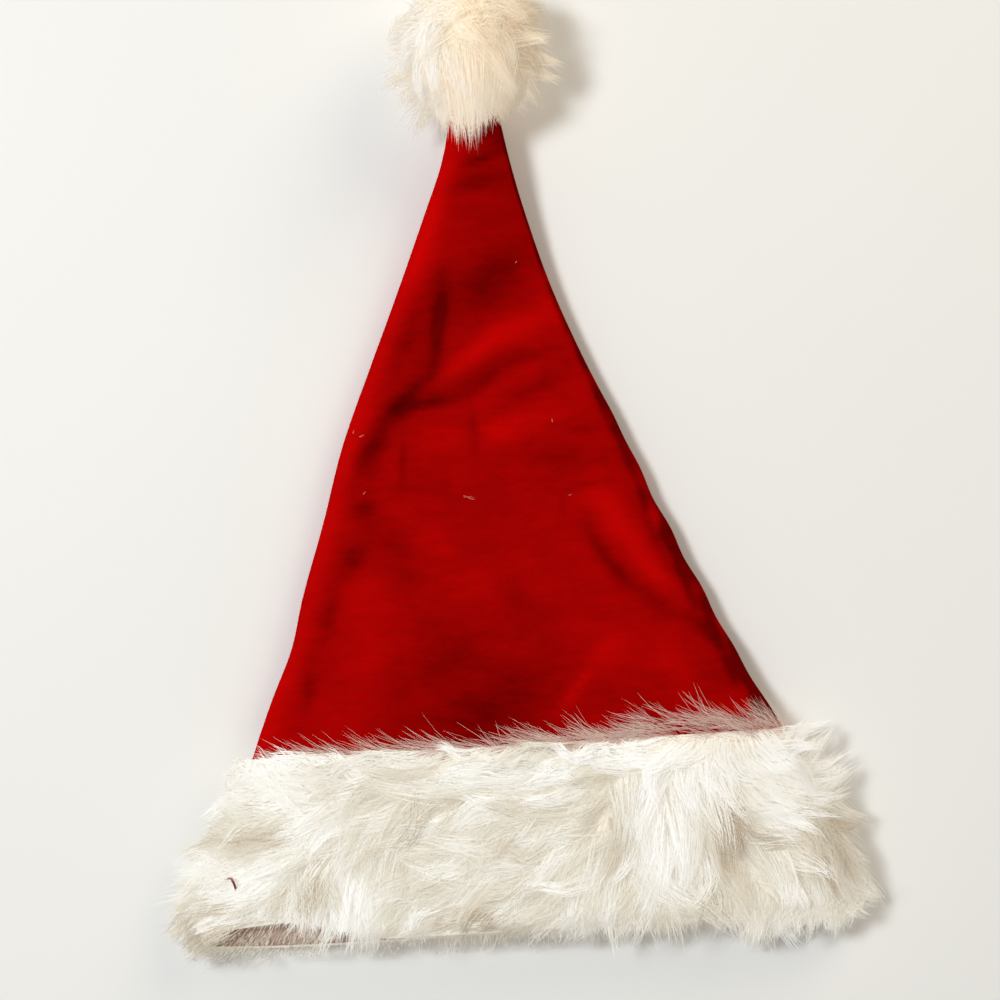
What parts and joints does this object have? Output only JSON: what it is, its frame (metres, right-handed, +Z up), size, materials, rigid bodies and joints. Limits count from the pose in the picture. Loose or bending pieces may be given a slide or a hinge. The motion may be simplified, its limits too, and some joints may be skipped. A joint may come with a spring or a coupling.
{
  "type": "santa hat",
  "caption": "Plush santa hat lying flat: hollow pointed velvet crown, shaggy fur cuff round the open mouth, fur pompom on the tip.",
  "frame": {"origin": "on the surface that the hat lies on, under the middle of its bounding box", "axes": "+Y from the cuff to the pompom, +X to the hat's right seen from above with the pompom away, +Z up from the surface"},
  "size_m": [0.3409, 0.4799, 0.0717],
  "materials": {
    "red_velvet": "deep red crushed velvet with a soft short nap",
    "cream_fur": "long shaggy cream faux fur",
    "cream_pompom_fur": "long soft warm cream faux fur"
  },
  "bodies": {
    "root": {"crown": "red_velvet", "fur_cuff": "cream_fur", "pompom": "cream_pompom_fur"}
  },
  "joints": []
}
